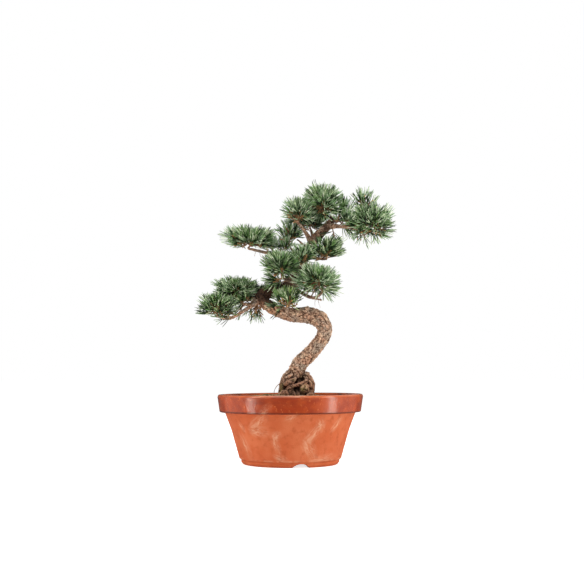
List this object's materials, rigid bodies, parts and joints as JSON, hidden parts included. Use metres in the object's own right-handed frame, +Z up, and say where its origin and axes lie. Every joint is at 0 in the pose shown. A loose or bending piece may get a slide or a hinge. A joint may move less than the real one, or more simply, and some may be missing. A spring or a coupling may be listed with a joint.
{
  "type": "japanese white pine bonsai in a terracotta pot",
  "caption": "Small trained pine with a doubled-back trunk, tapering boughs and pads of needles, growing in a round terracotta pot with a thick glazed band at its rim.",
  "frame": {"origin": "on the plane that the pot stands on, under the middle of the plant's outline; the pot's axis is 9.8 mm to the -X side", "axes": "+Z up along the height, -Y towards the front that the picture shows, +X to the right of that view"},
  "size_m": [0.3, 0.217, 0.4209],
  "materials": {
    "terracotta": "matte fired clay, glazed dark red-brown on the rim band",
    "soil": "dry gritty granules with some moss",
    "bark": "rough scaly grey-brown bark",
    "needles": "satin blue-green needles"
  },
  "bodies": {
    "root": {"bough_front_small": "bark", "bough_left_back": "bark", "bough_left_high": "bark", "bough_left_low": "bark", "bough_left_under": "bark", "bough_middle_back": "bark", "bough_middle_left": "bark", "bough_middle_right": "bark", "bough_middle_top": "bark", "bough_right_tip": "bark", "bough_top_back": "bark", "bough_top_left": "bark", "bough_top_right_high": "bark", "bough_upper_centre": "bark", "bough_upper_left": "bark", "bough_upper_right": "bark", "needles_front_small": "needles", "needles_left_back": "needles", "needles_left_high": "needles", "needles_left_low": "needles", "needles_left_under": "needles", "needles_middle_back": "needles", "needles_middle_left": "needles", "needles_middle_right": "needles", "needles_middle_top": "needles", "needles_right_tip": "needles", "needles_top": "needles", "needles_top_back": "needles", "needles_top_left": "needles", "needles_top_right_high": "needles", "needles_upper_centre": "needles", "needles_upper_left": "needles", "needles_upper_right": "needles", "pot": "terracotta", "soil": "soil", "trunk": "bark"}
  },
  "joints": []
}
